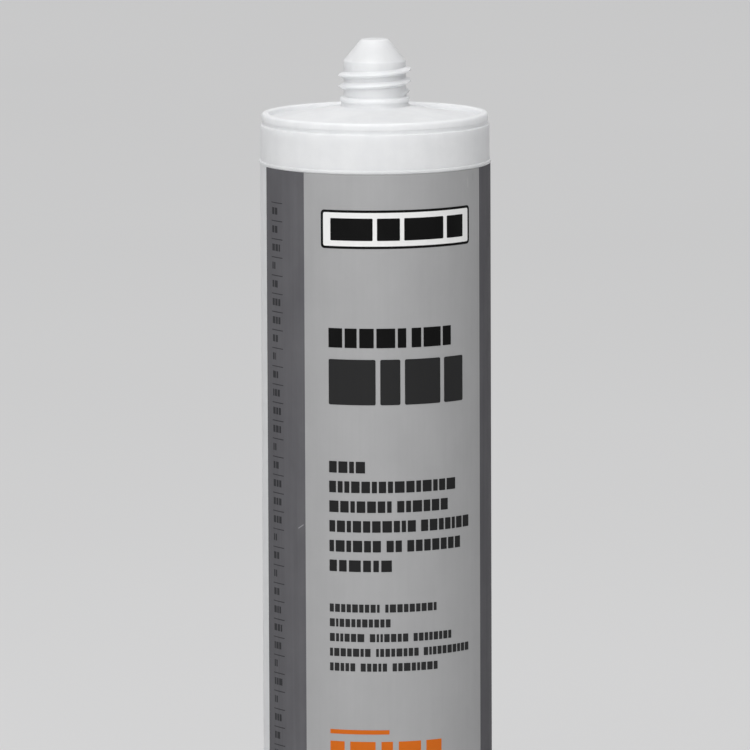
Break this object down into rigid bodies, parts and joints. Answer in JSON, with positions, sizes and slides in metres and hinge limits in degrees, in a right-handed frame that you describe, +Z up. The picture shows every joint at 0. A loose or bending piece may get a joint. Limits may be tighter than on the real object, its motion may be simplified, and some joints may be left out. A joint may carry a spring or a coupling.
{
  "type": "sealant cartridge",
  "caption": "White plastic sealant cartridge with a piston, paste filling, closed threaded neck and plain grey print fields.",
  "frame": {"origin": "middle of the rear rim's plane, on the barrel's axis", "axes": "+Z up the barrel's axis towards the neck, -Y out of the middle of the printed front"},
  "size_m": [0.05, 0.05, 0.216],
  "materials": {
    "white_plastic": "satin moulded polyethylene",
    "piston_plastic": "soft natural polyethylene",
    "paste": "smooth paste",
    "light_ink": "satin light grey print",
    "dark_ink": "satin dark grey print",
    "black_ink": "satin near-black print",
    "scale_ink": "satin dark grey print, a shade deeper than the band",
    "panel_ink": "satin white print",
    "mark_ink": "satin orange print"
  },
  "bodies": {
    "barrel": {"cartridge": "white_plastic", "sealant": "paste", "light_field": "light_ink", "dark_bands": "dark_ink", "name_panel": "panel_ink", "panel_border": "black_ink", "print_rows": "black_ink", "scale_lines": "scale_ink", "colour_mark": "mark_ink"},
    "piston": {"piston": "piston_plastic"}
  },
  "joints": [
    {"name": "piston_slide", "type": "slide", "parent": "barrel", "child": "piston", "axis": [0, 0, 1], "range_m": [0, 0.1799], "deforming": ["sealant"]}
  ]
}
